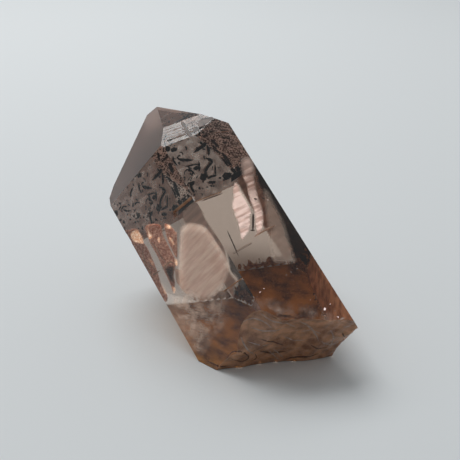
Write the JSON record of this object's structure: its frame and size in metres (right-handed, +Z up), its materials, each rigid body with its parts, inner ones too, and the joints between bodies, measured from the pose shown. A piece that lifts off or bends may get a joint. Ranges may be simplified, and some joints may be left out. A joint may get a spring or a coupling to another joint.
{
  "type": "smoky quartz crystal",
  "caption": "Smoky quartz point: a leaning six-sided prism with a pyramid tip, a stepped facet, and a broken base that it rests on.",
  "frame": {"origin": "middle of the bounding box's base, on the ground plane that the crystal rests on", "axes": "+Z up; the long axis leans 52.9 degrees from +Z towards -X and +Y, and the picture looks along +Y"},
  "size_m": [0.0522, 0.053, 0.0438],
  "materials": {
    "smoky_quartz": "polished natural faces, rough on the break"
  },
  "bodies": {
    "root": {"quartz_crystal": "smoky_quartz"}
  },
  "joints": []
}
